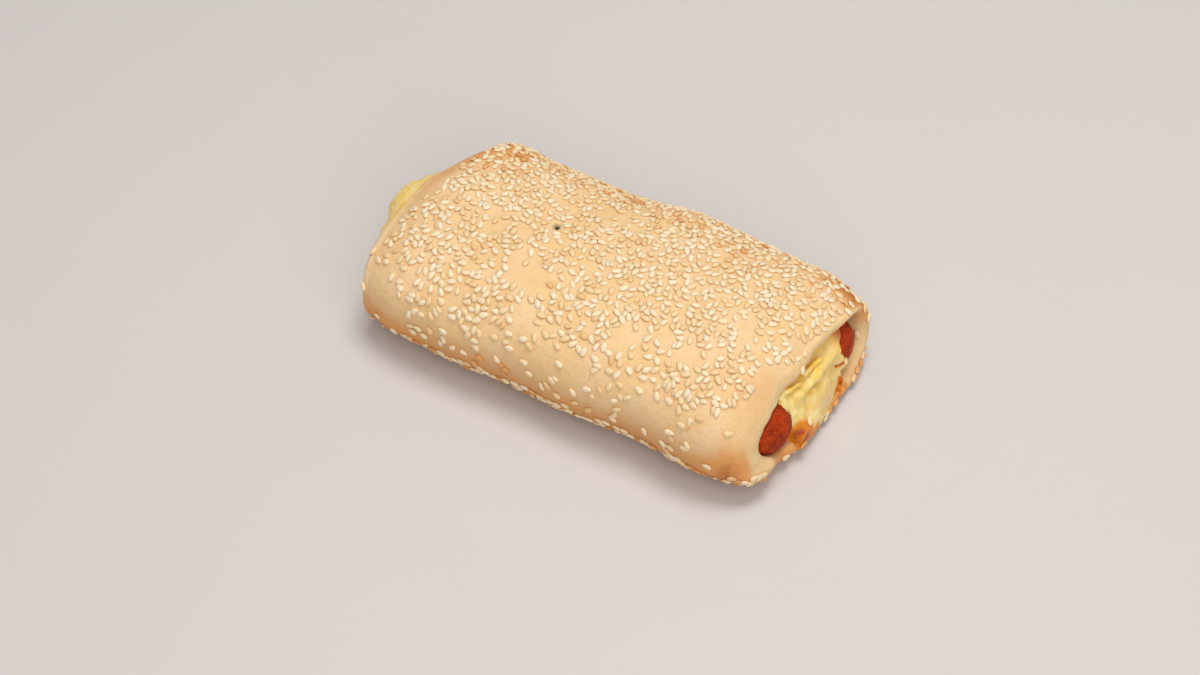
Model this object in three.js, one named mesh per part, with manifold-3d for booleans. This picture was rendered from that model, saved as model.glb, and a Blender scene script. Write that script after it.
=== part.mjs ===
// Sausage brioche: a baked dough sleeve sprinkled with sesame, with two sausages lying side by side in it
// and melted cheese between them that swells out of both mouths.
// Millimetres, +Z up. The roll lies along X, its near side is -Y, and it rests on its flat underside.
import * as THREE from 'three';
import { mergeGeometries, mergeVertices } from 'three/addons/utils/BufferGeometryUtils.js';
import Module from 'manifold-3d';

const wasm = await Module();
wasm.setup();

const { clamp, lerp, seededRandom } = THREE.MathUtils;

// Space left between neighbouring pieces
const clearance = 0.3;
// Points nearer to each other than this become one
const weldDistance = 1e-4;

const sleeve = {
  nearSide: 40.1, // from the long axis to the near side
  farSide: 40.9,
  height: 38.8,
  waist: 0.42, // height of the widest line, as a share of the height
  roundness: 2.6, // power of the rounded upper outline
  lowerRoundness: 2.4, // power of the lower outline
  footing: 2.2, // how far the lower outline is sunk to give the flat underside
  easeLength: 26, // stretch over which each end narrows
  narrowingPower: 2.4, // how late in that stretch it narrows
  setBackPower: 1.5, // how late in that stretch the lip is set back
  liftPower: 3, // how late in that stretch the lower side rises
  cornerPower: 6, // how tight the rounded corners are in plan
  farCornerFrom: 6, // line past which the far corners are cut back
  flareFrom: 4, // height over which the mouths start to open wider than the bore
  flareHeight: 20, // height over which they come to their full width
  boreInset: 1.5, // from the crust's edge back to the bore's edge
  ringCrowding: 0.7, // how much closer the rings stand towards the ends
  aroundPoints: 44,
  alongRings: 23,
  boreRings: 5,
  lipRings: 4,
};

// How each end narrows and is set back: its lower lip's distance from the middle, the set-back of its top lip
// and how much of that is lost towards the far side, the slope and the round of each corner in plan,
// the narrowing of each side, the drop of the top, and the shape of the lip
const rightMouth = {
  reach: 71.0, topSetBack: 8.6, farHold: 0.7,
  nearSlope: 4.0, nearRound: 3.2, farSlope: 0.2, farRound: 1.2,
  nearTaper: 3.4, farTaper: 2.4, drop: 6.2, lift: 2.8, flare: 2.4, lipBulge: 2.6,
};
const leftMouth = {
  reach: 75.6, topSetBack: 2.4, farHold: 0,
  nearSlope: 0.3, nearRound: 4.5, farSlope: 12.0, farRound: 1.0,
  nearTaper: 3.2, farTaper: 4.2, drop: 6.0, lift: 1.2, flare: 1.6, lipBulge: 2.4,
};

// Shallow dent that crosses the far half of the top
const dent = { depth: 2.0, width: 11, atX: -12, atY: 30, slant: 0.55, fadesInFrom: -5, fadesInOver: 30 };

const sausage = {
  radius: 9.5,
  axisHeight: 15.0,
  noseLength: 7.5,
  noseSteps: 5,
  sides: 22,
  near: { axisY: -17.7, left: -67.5, right: 69.2 },
  far: { axisY: 21.8, left: -66, right: 71.5 },
};

const cheese = {
  left: -72,
  right: 63,
  stripHeight: 28.5,
  flankInset: 4.6, // from each sausage's axis to where the filling that hugs it ends
  // Swellings at the two mouths: centre, then half sizes along X, Y and Z
  lobes: [
    { centre: [60.5, 2.0, 19], half: [6.0, 15, 10.5] },
    { centre: [64.5, 5.5, 10.5], half: [9.0, 10.5, 8.5] },
    { centre: [66.4, -4.8, 8.0], half: [6.4, 6.6, 5.6] },
    { centre: [66.0, 13.5, 14.0], half: [5.4, 6.5, 8.0] },
    { centre: [-76.6, 4.0, 14.8], half: [11.0, 14.0, 9.6] },
    { centre: [-75.2, -7.5, 13.2], half: [8.8, 9.0, 8.6] },
    { centre: [-74.0, 13.5, 15.0], half: [8.8, 8.5, 8.8] },
  ],
  lobeDetail: [14, 9],
  roomLeft: -95, // how far the space for the filling goes on past the lips
  roomRight: 85,
};

const sesame = {
  length: 3.1,
  width: 1.9,
  rise: 0.95, // how high a seed stands over the crust
  root: 1.3, // how deep its lower tip is buried
  // Where a seed's rim and ridge have their points, as shares of its half length, half width and rise
  rimHeight: 0.4,
  shoulder: [0.35, 0.8],
  hip: [-0.5, 1],
  ridge: [0.25, -0.45],
  rootTip: -0.1,
  smallest: 0.9,
  largest: 1.08,
  spacing: 5.0,
  count: 254,
  seed: 37,
  underturn: 0.75, // how far past each side, in radians, seeds are tried
  lowest: 3.6, // lowest seed over the table
  // The near flank is barer than the top, but for its lowest edge
  flank: { beyondY: -27, aboveZ: 9, share: 0.45 },
  rimMargin: 4.5, // bare band behind each lip
  tries: 6000,
};

const finishes = {
  crust: new THREE.MeshStandardMaterial({ color: 0xe8c088, roughness: 0.62, metalness: 0 }),
  sausage: new THREE.MeshStandardMaterial({ color: 0xa4471f, roughness: 0.42, metalness: 0 }),
  cheese: new THREE.MeshStandardMaterial({ color: 0xe9c97a, roughness: 0.4, metalness: 0 }),
};

function signedPower(value, power) {
  return Math.sign(value) * Math.abs(value) ** power;
}

// 0 along the body of the roll, rising to 1 at the lip of the end that x lies towards
function endShare(x) {
  const mouth = x > 0 ? rightMouth : leftMouth;
  return clamp((Math.abs(x) - (mouth.reach - sleeve.easeLength)) / sleeve.easeLength, 0, 1);
}

// A point of the crust. angle runs from 0 at the far side over the top to 180 degrees at the near side.
function crustPoint(x, angle) {
  const mouth = x > 0 ? rightMouth : leftMouth;
  const share = endShare(x);
  const narrowing = share ** sleeve.narrowingPower;
  const nearWidth = sleeve.nearSide - mouth.nearTaper * narrowing;
  const farWidth = sleeve.farSide - mouth.farTaper * narrowing;
  const height = sleeve.height - mouth.drop * narrowing;
  const waist = sleeve.waist * height;
  const across = Math.cos(angle);
  const upward = Math.sin(angle);
  const y = (across < 0 ? nearWidth : farWidth) * signedPower(across, 2 / sleeve.roundness);
  let z = waist + (height - waist) * signedPower(upward, 2 / sleeve.roundness);
  if (upward < 0) {
    const sunk = (waist + sleeve.footing) * Math.abs(upward) ** (2 / sleeve.lowerRoundness);
    z = Math.max(0, waist - sunk);
    z += mouth.lift * share ** sleeve.liftPower * (1 - z / waist);
  }
  const rise = z / height;
  const dentLine = dent.atX + (y - dent.atY) * dent.slant;
  const dentFade = clamp((y - dent.fadesInFrom) / dent.fadesInOver, 0, 1) * rise ** 2;
  z -= dent.depth * Math.exp(-(((x - dentLine) / dent.width) ** 2)) * dentFade;
  const nearShare = clamp(-y / nearWidth, 0, 1);
  const farShare = clamp((y - sleeve.farCornerFrom) / (farWidth - sleeve.farCornerFrom), 0, 1);
  const nearCorner = mouth.nearSlope * nearShare + mouth.nearRound * nearShare ** sleeve.cornerPower;
  const farCorner = mouth.farSlope * farShare + mouth.farRound * farShare ** sleeve.cornerPower;
  const topCorner = mouth.topSetBack * (1 - mouth.farHold * farShare) * rise ** 2;
  const setBack = (nearCorner + farCorner + topCorner) * share ** sleeve.setBackPower;
  return new THREE.Vector3(x - Math.sign(x) * setBack, y, z);
}

// The point of the bore's wall that faces a point of the crust: the bore is a slot with two round sides,
// each round a sausage. gap is taken off the bore all round.
function borePoint(crust, x, flare, gap) {
  const opening = flare * clamp((crust.z - sleeve.flareFrom) / sleeve.flareHeight, 0, 1);
  const radius = sausage.radius + clearance + opening - gap;
  const axisY = clamp(crust.y, sausage.near.axisY, sausage.far.axisY);
  const away = new THREE.Vector3(0, crust.y - axisY, crust.z - sausage.axisHeight).setLength(radius);
  return new THREE.Vector3(x, axisY + away.y, sausage.axisHeight + away.z);
}

function angles() {
  const step = (2 * Math.PI) / sleeve.aroundPoints;
  return Array.from({ length: sleeve.aroundPoints }, (_, index) => (index + 0.5) * step);
}

// Joins rings of points, each with the next, into a surface. A closed strip also joins the last to the first,
// and an open one is shut with a fan at both ends.
function surfaceThrough(rings, closesOnItself) {
  const around = rings[0].length;
  const positions = rings.flat().flatMap((point) => point.toArray());
  const indices = [];
  const strips = closesOnItself ? rings.length : rings.length - 1;
  for (let ring = 0; ring < strips; ring += 1) {
    const here = ring * around;
    const there = ((ring + 1) % rings.length) * around;
    for (let index = 0; index < around; index += 1) {
      const next = (index + 1) % around;
      indices.push(here + index, here + next, there + next, here + index, there + next, there + index);
    }
  }
  if (!closesOnItself) {
    for (const [ring, order] of [[rings[0], -1], [rings.at(-1), 1]]) {
      const middle = ring.reduce((sum, point) => sum.add(point), new THREE.Vector3()).divideScalar(around);
      const hub = positions.length / 3;
      const first = order < 0 ? 0 : (rings.length - 1) * around;
      positions.push(...middle.toArray());
      for (let index = 0; index < around; index += 1) {
        const pair = [first + index, first + ((index + 1) % around)];
        indices.push(hub, ...(order > 0 ? pair : pair.reverse()));
      }
    }
  }
  const geometry = new THREE.BufferGeometry();
  geometry.setAttribute('position', new THREE.Float32BufferAttribute(positions, 3));
  geometry.setIndex(indices);
  return geometry;
}

// Rings that turn round a lip from the crust's edge to the bore's edge
function lipRings(outerRing, innerRing, direction, bulge) {
  return Array.from({ length: sleeve.lipRings }, (_, step) => {
    const turn = (Math.PI * (step + 1)) / (sleeve.lipRings + 1);
    return outerRing.map((outer, index) => {
      const inner = innerRing[index];
      const point = outer.clone().lerp(inner, (1 - Math.cos(turn)) / 2);
      point.x += direction * bulge * Math.sin(turn);
      return point;
    });
  });
}

function crustRing(x) {
  return angles().map((angle) => crustPoint(x, angle));
}

function mouthRing(mouth, direction, gap) {
  const ring = crustRing(direction * mouth.reach);
  return ring.map((crust) => borePoint(crust, crust.x - direction * sleeve.boreInset, mouth.flare, gap));
}

// Rings of the bore's wall from the right mouth to the left one
function boreRings(gap) {
  const fromX = rightMouth.reach - sleeve.easeLength;
  const toX = sleeve.easeLength - leftMouth.reach;
  const middle = Array.from({ length: sleeve.boreRings }, (_, index) => {
    const x = lerp(fromX, toX, index / (sleeve.boreRings - 1));
    return crustRing(x).map((crust) => borePoint(crust, x, 0, gap));
  });
  return [mouthRing(rightMouth, 1, gap), ...middle, mouthRing(leftMouth, -1, gap)];
}

function sleeveGeometry() {
  const outer = Array.from({ length: sleeve.alongRings }, (_, index) => {
    const share = lerp(-1, 1, index / (sleeve.alongRings - 1));
    const spread = lerp(share, Math.sin((share * Math.PI) / 2), sleeve.ringCrowding);
    return crustRing(spread * (share > 0 ? rightMouth.reach : leftMouth.reach));
  });
  const bore = boreRings(0);
  return surfaceThrough([
    ...outer,
    ...lipRings(outer.at(-1), bore[0], 1, rightMouth.lipBulge),
    ...bore,
    ...lipRings(bore.at(-1), outer[0], -1, leftMouth.lipBulge),
  ], true);
}

// The space that the filling may take: the bore less the clearance, and on past both lips
function fillingRoom() {
  const rings = boreRings(clearance).reverse();
  const beyond = (ring, shift) => ring.map((point) => new THREE.Vector3(shift, point.y, point.z));
  const leftEnd = beyond(rings[0], cheese.roomLeft);
  const rightEnd = beyond(rings.at(-1), cheese.roomRight);
  return surfaceThrough([leftEnd, ...rings, rightEnd], false);
}

function solidOf(geometry) {
  const bare = geometry.clone();
  bare.deleteAttribute('normal');
  bare.deleteAttribute('uv');
  const merged = mergeVertices(bare, weldDistance);
  return new wasm.Manifold(new wasm.Mesh({
    numProp: 3,
    vertProperties: new Float32Array(merged.attributes.position.array),
    triVerts: new Uint32Array(merged.index.array),
  }));
}

function geometryOf(solid) {
  const mesh = solid.getMesh();
  const geometry = new THREE.BufferGeometry();
  geometry.setAttribute('position', new THREE.Float32BufferAttribute(mesh.vertProperties, 3));
  geometry.setIndex(Array.from(mesh.triVerts));
  geometry.computeVertexNormals();
  return geometry;
}

// One seed, lying flat with its point towards +X: a rim of six points, a ridge of two and a buried tip
function seedGeometry(scale) {
  const half = (sesame.length / 2) * scale;
  const side = (sesame.width / 2) * scale;
  const rimHeight = sesame.rimHeight * sesame.rise;
  const [shoulderX, shoulderY] = [sesame.shoulder[0] * half, sesame.shoulder[1] * side];
  const [hipX, hipY] = [sesame.hip[0] * half, sesame.hip[1] * side];
  const [frontX, rearX] = sesame.ridge.map((share) => share * half);
  const points = [
    [half, 0, rimHeight], [shoulderX, shoulderY, rimHeight], [hipX, hipY, rimHeight],
    [-half, 0, rimHeight], [hipX, -hipY, rimHeight], [shoulderX, -shoulderY, rimHeight],
    [frontX, 0, sesame.rise], [rearX, 0, sesame.rise], [sesame.rootTip * half, 0, -sesame.root],
  ];
  const faces = [
    [6, 0, 1], [6, 1, 2], [6, 2, 7], [7, 2, 3], [7, 3, 4], [7, 4, 5], [7, 5, 6], [6, 5, 0],
    [8, 1, 0], [8, 2, 1], [8, 3, 2], [8, 4, 3], [8, 5, 4], [8, 0, 5],
  ];
  const geometry = new THREE.BufferGeometry();
  geometry.setAttribute('position', new THREE.Float32BufferAttribute(points.flat(), 3));
  geometry.setIndex(faces.flat());
  return geometry;
}

// How many of the seeds that fall on a spot stick there
function seedShare(point) {
  const { beyondY, aboveZ, share } = sesame.flank;
  return point.y < beyondY && point.z > aboveZ ? share : 1;
}

// A point of the crust with the directions along the roll and out of the crust there
function crustFrame(x, angle) {
  const stepX = 0.4;
  const stepAngle = 0.02;
  const origin = crustPoint(x, angle);
  const along = crustPoint(x + stepX, angle).sub(crustPoint(x - stepX, angle)).normalize();
  const around = crustPoint(x, angle + stepAngle).sub(crustPoint(x, angle - stepAngle)).normalize();
  const outward = new THREE.Vector3().crossVectors(around, along).normalize();
  return { origin, along, outward };
}

// Seeds scattered over the crust, none nearer to another than the spacing
function seedsGeometry() {
  const placed = [];
  const seeds = [];
  seededRandom(sesame.seed);
  for (let turn = 0; turn < sesame.tries && placed.length < sesame.count; turn += 1) {
    const x = lerp(-leftMouth.reach, rightMouth.reach, seededRandom());
    const angle = lerp(-sesame.underturn, Math.PI + sesame.underturn, seededRandom());
    const heading = 2 * Math.PI * seededRandom();
    const scale = lerp(sesame.smallest, sesame.largest, seededRandom());
    const keep = seededRandom();
    const { origin, along, outward } = crustFrame(x, angle);
    const reach = x > 0 ? rightMouth.reach : leftMouth.reach;
    const nearRim = reach - Math.abs(x) < sesame.rimMargin;
    const crowded = placed.some((other) => other.distanceTo(origin) < sesame.spacing);
    if (nearRim || crowded || origin.z < sesame.lowest || keep > seedShare(origin)) continue;
    placed.push(origin);
    const lengthwise = along.applyAxisAngle(outward, heading);
    const sideways = new THREE.Vector3().crossVectors(outward, lengthwise).normalize();
    const square = new THREE.Vector3().crossVectors(sideways, outward);
    const placing = new THREE.Matrix4().makeBasis(square, sideways, outward).setPosition(origin);
    seeds.push(seedGeometry(scale).applyMatrix4(placing));
  }
  return mergeGeometries(seeds);
}

// A sausage with domed ends along X, grown by margin all round
function sausageGeometry(place, margin) {
  const radius = sausage.radius + margin;
  const nose = sausage.noseLength + margin;
  const halfLength = (place.right - place.left) / 2 + margin;
  const quarter = Array.from({ length: sausage.noseSteps + 1 }, (_, index) => {
    const turn = (Math.PI / 2) * (index / sausage.noseSteps);
    return new THREE.Vector2(radius * Math.sin(turn), halfLength - nose * (1 - Math.cos(turn)));
  });
  quarter[0].x = 0;
  const mirrored = quarter.map((point) => new THREE.Vector2(point.x, -point.y));
  const geometry = new THREE.LatheGeometry([...mirrored, ...quarter.reverse()], sausage.sides);
  geometry.rotateZ(-Math.PI / 2);
  geometry.translate((place.left + place.right) / 2, place.axisY, sausage.axisHeight);
  return geometry;
}

// The strip of filling between the sausages, before it is cut to the bore and to them
function stripGeometry() {
  const left = sausage.near.axisY + cheese.flankInset;
  const right = sausage.far.axisY - cheese.flankInset;
  const strip = new THREE.BoxGeometry(cheese.right - cheese.left, right - left, cheese.stripHeight);
  return strip.translate((cheese.left + cheese.right) / 2, (left + right) / 2, sausage.axisHeight);
}

function lobeGeometry(lobe) {
  const geometry = new THREE.SphereGeometry(1, ...cheese.lobeDetail);
  return geometry.scale(...lobe.half).translate(...lobe.centre);
}

function cheeseGeometry() {
  const swellings = cheese.lobes.map((lobe) => solidOf(lobeGeometry(lobe)));
  const whole = swellings.reduce((sum, swelling) => sum.add(swelling), solidOf(stripGeometry()));
  const fitted = whole
    .intersect(solidOf(fillingRoom()))
    .subtract(solidOf(sausageGeometry(sausage.near, clearance)))
    .subtract(solidOf(sausageGeometry(sausage.far, clearance)));
  return geometryOf(fitted);
}

function doughGeometry() {
  return geometryOf(solidOf(sleeveGeometry()).add(solidOf(seedsGeometry())));
}

function piece(name, geometry, finish) {
  const mesh = new THREE.Mesh(geometry, finish);
  mesh.name = name;
  return mesh;
}

const brioche = new THREE.Group();
brioche.add(
  piece('dough', doughGeometry(), finishes.crust),
  piece('sausage_near', geometryOf(solidOf(sausageGeometry(sausage.near, 0))), finishes.sausage),
  piece('sausage_far', geometryOf(solidOf(sausageGeometry(sausage.far, 0))), finishes.sausage),
  piece('cheese', cheeseGeometry(), finishes.cheese),
);

// The origin is the middle of the underside
const extent = new THREE.Box3().setFromObject(brioche, true);
const middle = extent.getCenter(new THREE.Vector3());
brioche.position.set(-middle.x, -middle.y, -extent.min.z);

export default brioche;
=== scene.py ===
import math

import bpy
import numpy as np
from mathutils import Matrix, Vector, noise
from mathutils.bvhtree import BVHTree
from mathutils.kdtree import KDTree


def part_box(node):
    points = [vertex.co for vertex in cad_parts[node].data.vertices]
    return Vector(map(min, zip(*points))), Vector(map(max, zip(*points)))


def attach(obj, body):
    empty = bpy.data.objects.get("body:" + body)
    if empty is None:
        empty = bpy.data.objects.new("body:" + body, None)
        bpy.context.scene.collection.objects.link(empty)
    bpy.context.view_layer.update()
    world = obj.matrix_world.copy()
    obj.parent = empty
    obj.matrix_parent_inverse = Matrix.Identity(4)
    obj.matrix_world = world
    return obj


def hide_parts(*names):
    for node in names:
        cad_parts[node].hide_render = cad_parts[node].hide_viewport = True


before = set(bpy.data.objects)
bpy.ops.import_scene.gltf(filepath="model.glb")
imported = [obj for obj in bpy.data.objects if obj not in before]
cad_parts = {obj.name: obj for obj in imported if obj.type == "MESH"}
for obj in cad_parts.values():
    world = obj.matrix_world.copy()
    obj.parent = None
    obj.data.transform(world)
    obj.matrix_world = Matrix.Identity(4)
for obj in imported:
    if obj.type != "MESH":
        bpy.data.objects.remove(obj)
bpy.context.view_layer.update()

millimetre = 0.001
tiny = 1e-9  # keeps a division from failing

# The roll is worked out in its own frame, in millimetres: X along it, with the sausages' mouth at +X,
# the near side at -Y, zero height on the table. In the dictionaries, most pairs of numbers say where a
# change starts and where it is full. A wave is its height, the size of its bumps, a seed and a stretch.
sausages = {
    "radius": 9.5,
    "axisHeight": 15.0,
    "around": 96,
    "along": 150,
    "noseRings": 22,
    "skinOverlap": 0.12,  # how far the cheese reaches into the skin
    "shrunk": 0.12,
    "noseBumps": 0.25,  # how much the bumps stand out along the sausage rather than sideways
    "near": {
        "axisY": -17.7, "left": -67.5, "right": 69.2, "nose": 7.4, "slimmer": 0.4, "raised": 0.6,
        "waves": [(0.16, 7.0, 2.2), (0.05, 2.2, 7.2)],
    },
    "far": {
        "axisY": 21.8, "left": -66.0, "right": 71.5, "nose": 8.4, "slimmer": 0.1, "raised": 0.0,
        "waves": [(0.16, 7.0, 8.8), (0.05, 2.2, 13.8)],
    },
}


def findRollOrigin():
    # The near sausage's box says where the roll's own frame lies
    low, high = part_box("sausage_near")
    near = sausages["near"]
    middle = (near["left"] + near["right"]) / 2
    x = (low.x + high.x) / 2 - middle * millimetre
    y = (low.y + high.y) / 2 - near["axisY"] * millimetre
    return np.array([x, y, 0.0])


rollOrigin = findRollOrigin()


def toMetres(points):
    return np.asarray(points) * millimetre + rollOrigin


def toRoll(points):
    return (np.asarray(points) - rollOrigin) / millimetre


def smooth(value, low, high):
    share = np.clip((value - low) / (high - low), 0.0, 1.0)
    return share * share * (3 - 2 * share)


def bell(value, middle, width):
    return np.exp(-((value - middle) / width) ** 2)


def wave(points, height, size, seed, stretch=(1, 1, 1)):
    # Perlin noise, about as high as asked to either side
    scaled = points * np.array(stretch) / size + seed
    return height * np.array([noise.noise(p) for p in scaled])


def withWaves(values, points, waves):
    for each in waves:
        values = values + wave(points, *each)
    return values


def spot(points, centre, radius):
    return np.exp(-((points - np.array(centre)) ** 2).sum(-1) / radius ** 2)


def withSpots(values, points, spots):
    # Each spot is its centre, radius and amount
    for centre, radius, amount in spots:
        values = values + amount * spot(points, centre, radius)
    return values


def linked(name, data):
    thing = bpy.data.objects.new(name, data)
    bpy.context.scene.collection.objects.link(thing)
    return thing


def meshObject(name, points, faces, finish):
    mesh = bpy.data.meshes.new(name)
    mesh.from_pydata(toMetres(points).tolist(), [], faces)
    mesh.polygons.foreach_set("use_smooth", [True] * len(mesh.polygons))
    mesh.materials.append(finish)
    mesh.update()
    return linked(name, mesh)


def keepShares(piece, shares):
    # Numbers of each vertex that the materials read
    for name, values in shares.items():
        layer = piece.data.attributes.new(name, "FLOAT", "POINT")
        layer.data.foreach_set("value", values.astype(np.float32))


def vertexNormals(piece):
    mesh = piece.data
    flat = np.zeros(len(mesh.vertices) * 3, dtype=np.float32)
    mesh.vertex_normals.foreach_get("vector", flat)
    return flat.reshape(-1, 3)


def placeVertices(piece, points):
    piece.data.vertices.foreach_set("co", toMetres(points).astype(np.float32).ravel())
    piece.data.update()


def addNode(tree, kind, inputs, **settings):
    node = tree.nodes.new(kind)
    for name, value in settings.items():
        setattr(node, name, value)
    for name, value in inputs.items():
        if isinstance(value, bpy.types.NodeSocket):
            tree.links.new(value, node.inputs[name])
        else:
            node.inputs[name].default_value = value
    return node.outputs


# Materials: a main colour and tints over it in turn. Each tint's share comes from a noise or from a number
# of the mesh. It changes over the span, from the first value that it gives to the second. The finest
# relief is a bump. A noise is its bumps per metre, detail, roughness, distortion and stretch. Glow is how
# much light goes in, and how far in red, green and blue.

crustUneven = {"noise": (140, 4, 0.6), "span": (0.25, 0.7), "gives": (0.72, 1.25)}
crustLook = {
    "colour": (243, 210, 164),
    "tints": {
        "straw": {"colour": (239, 204, 148), "noise": (55, 4, 0.55, 0.4), "span": (0.35, 0.68)},
        "mottle": {
            "colour": (234, 180, 112), "noise": (300, 5, 0.6), "span": (0.48, 0.74), "gives": (0, 0.32),
        },
        "blister": {
            "colour": (222, 146, 76), "noise": (210, 2, 0.5, 0.5), "span": (0.66, 0.8), "gives": (0, 0.7),
        },
        # Partly painted shade low on the sides, partly a browner base
        "tanAndShade": {"colour": (195, 119, 34), "number": "tanAndShade"},
        "crumb": {"colour": (233, 201, 148), "number": "pale"},
        # Painted shade where the dough folds under the near corner of the right mouth
        "foldShade": {"colour": (216, 186, 146), "number": "foldShade"},
        # Partly painted shade low on the sides and underneath
        "gold": {"colour": (228, 160, 88), "number": "baked", "uneven": crustUneven, "span": (0, 0.62)},
        "brown": {"colour": (192, 112, 46), "number": "baked", "uneven": crustUneven, "span": (0.55, 1.15)},
        "freckle": {
            "colour": (196, 128, 68), "noise": (900, 3, 0.5), "span": (0.66, 0.78), "gives": (0, 0.35),
        },
        "grain": {"colour": (222, 168, 104), "noise": (1300, 4, 0.7), "span": (0.4, 0.66), "gives": (0, 0.2)},
        # Painted shade inside the pin hole
        "pinHole": {"colour": (40, 16, 4), "number": "pin"},
    },
    "roughness": {"noise": (420, 4, 0.6), "span": (0.3, 0.75), "gives": (0.48, 0.7)},
    "relief": [
        {"noise": (700, 6, 0.62), "strength": 0.75, "depth": 0.24},
        {"noise": (160, 5, 0.55, 0.6, (1, 2.2, 2.2)), "strength": 0.7, "depth": 0.55},
    ],
    "glow": (0.22, (0.0026, 0.0014, 0.0007)),
    "specular": 0.38,
}
seedLook = {
    "colour": (251, 227, 194),
    "tints": {
        "straw": {"colour": (243, 207, 158), "number": "toast", "span": (0.1, 0.85)},
        "toasted": {"colour": (222, 156, 88), "number": "toast", "span": (0.78, 1.0)},
        "grain": {"colour": (232, 182, 118), "noise": (1600, 3, 0.6), "span": (0.45, 0.8), "gives": (0, 0.3)},
    },
    "roughness": {"noise": (1100, 2), "span": (0.3, 0.7), "gives": (0.36, 0.52)},
    "relief": [{"noise": (2600, 3), "strength": 0.35, "depth": 0.06}],
    "glow": (0.4, (0.0015, 0.0011, 0.0006)),
    "specular": 0.45,
}
sausageLook = {
    "colour": (138, 34, 5),
    "tints": {
        "red": {"colour": (184, 58, 10), "noise": (190, 4, 0.6, 0.5), "span": (0.3, 0.68)},
        "rust": {"colour": (208, 112, 44), "noise": (1500, 5, 0.7), "span": (0.5, 0.7), "gives": (0, 0.68)},
        "pits": {"colour": (112, 28, 8), "noise": (780, 3, 0.5), "span": (0.62, 0.74), "gives": (0, 0.55)},
    },
    "roughness": {"noise": (600, 3), "span": (0.3, 0.7), "gives": (0.5, 0.7)},
    "relief": [
        {"noise": (1000, 4, 0.6), "strength": 0.5, "depth": 0.12},
        {"noise": (260, 3, 0.5), "strength": 0.45, "depth": 0.3},
    ],
    "glow": (0.07, (0.0022, 0.0006, 0.0003)),
    "specular": 0.12,
}
cheeseUneven = {"noise": (460, 4, 0.6), "span": (0.25, 0.75), "gives": (0.65, 1.3)}
cheeseLook = {
    "colour": (245, 209, 112),
    "tints": {
        "ivory": {"colour": (246, 224, 158), "noise": (210, 4, 0.55, 0.6), "span": (0.36, 0.66)},
        "white": {"colour": (239, 202, 140), "number": "white"},
        # Painted shade: a deeper yellow in the hollows
        "hollowShadeYellow": {"colour": (244, 190, 10), "number": "deep"},
        "blush": {"colour": (206, 118, 74), "number": "blush"},
        "amber": {"colour": (227, 134, 0), "number": "toast", "uneven": cheeseUneven, "span": (0.1, 0.5)},
        "brown": {"colour": (178, 70, 0), "number": "toast", "uneven": cheeseUneven, "span": (0.58, 1.15)},
    },
    "roughness": {"noise": (380, 3), "span": (0.3, 0.7), "gives": (0.26, 0.46)},
    "relief": [
        {"noise": (900, 4, 0.55), "strength": 0.4, "depth": 0.14},
        {"noise": (300, 3, 0.5, 0.8), "strength": 0.5, "depth": 0.4},
    ],
    "glow": (0.2, (0.002, 0.0013, 0.0005)),
    "specular": 0.36,
}


def linear(red, green, blue):
    # 0 to 255 as seen on a screen, to the shader's own scale
    def channel(value):
        value /= 255
        return value / 12.92 if value <= 0.04045 else ((value + 0.055) / 1.055) ** 2.4
    return (channel(red), channel(green), channel(blue), 1.0)


class Finish:
    # A principled material and short ways to add nodes to it
    def __init__(self, name):
        self.material = bpy.data.materials.new(name)
        self.material.use_nodes = True
        self.tree = self.material.node_tree
        self.shader = self.tree.nodes["Principled BSDF"].inputs
        self.place = self.add("ShaderNodeTexCoord", {})["Object"]

    def add(self, kind, inputs, **settings):
        return addNode(self.tree, kind, inputs, **settings)

    def noise(self, bumpsPerMetre, detail=3.0, roughness=0.5, distortion=0.0, stretch=None):
        place = self.place
        if stretch:
            place = self.add("ShaderNodeMapping", {"Vector": place, "Scale": stretch})["Vector"]
        shape = {"Scale": bumpsPerMetre, "Detail": detail, "Roughness": roughness, "Distortion": distortion}
        return self.add("ShaderNodeTexNoise", {"Vector": place, **shape})["Fac"]

    def share(self, rule):
        if "noise" in rule:
            value = self.noise(*rule["noise"])
        else:
            value = self.add("ShaderNodeAttribute", {}, attribute_name=rule["number"])["Fac"]
        if "uneven" in rule:
            both = {0: value, 1: self.share(rule["uneven"])}
            value = self.add("ShaderNodeMath", both, operation="MULTIPLY")["Value"]
        if "span" in rule:
            low, high = rule["span"]
            least, most = rule.get("gives", (0, 1))
            limits = {"From Min": low, "From Max": high, "To Min": least, "To Max": most}
            value = self.add(
                "ShaderNodeMapRange", {"Value": value, **limits}, interpolation_type="SMOOTHSTEP")["Result"]
        return value

    def blend(self, share, first, second):
        # The colour sockets of a Mix node go by number
        return self.add("ShaderNodeMix", {0: share, 6: first, 7: second}, data_type="RGBA")[2]

    def join(self, source, socketName):
        self.tree.links.new(source, self.shader[socketName])


def makeFinish(name, look):
    finish = Finish(name)
    colour = linear(*look["colour"])
    for tint in look["tints"].values():
        colour = finish.blend(finish.share(tint), colour, linear(*tint["colour"]))
    finish.join(colour, "Base Color")
    finish.join(finish.share(look["roughness"]), "Roughness")
    under = {}
    for relief in look["relief"]:
        height = finish.noise(*relief["noise"])
        size = {"Strength": relief["strength"], "Distance": relief["depth"] * millimetre}
        under = {"Normal": finish.add("ShaderNodeBump", {"Height": height, **size, **under})["Normal"]}
    finish.join(under["Normal"], "Normal")
    weight, reach = look["glow"]
    finish.shader["Subsurface Weight"].default_value = weight
    finish.shader["Subsurface Scale"].default_value = 1.0
    finish.shader["Subsurface Radius"].default_value = reach
    finish.shader["Specular IOR Level"].default_value = look["specular"]
    return finish.material


finishes = {
    "crust": makeFinish("bakedCrust", crustLook),
    "seed": makeFinish("sesameSeed", seedLook),
    "sausage": makeFinish("sausageSkin", sausageLook),
    "cheese": makeFinish("meltedCheese", cheeseLook),
}
print("finishes made:", ", ".join(finishes))

# The photo's viewpoint

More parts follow.
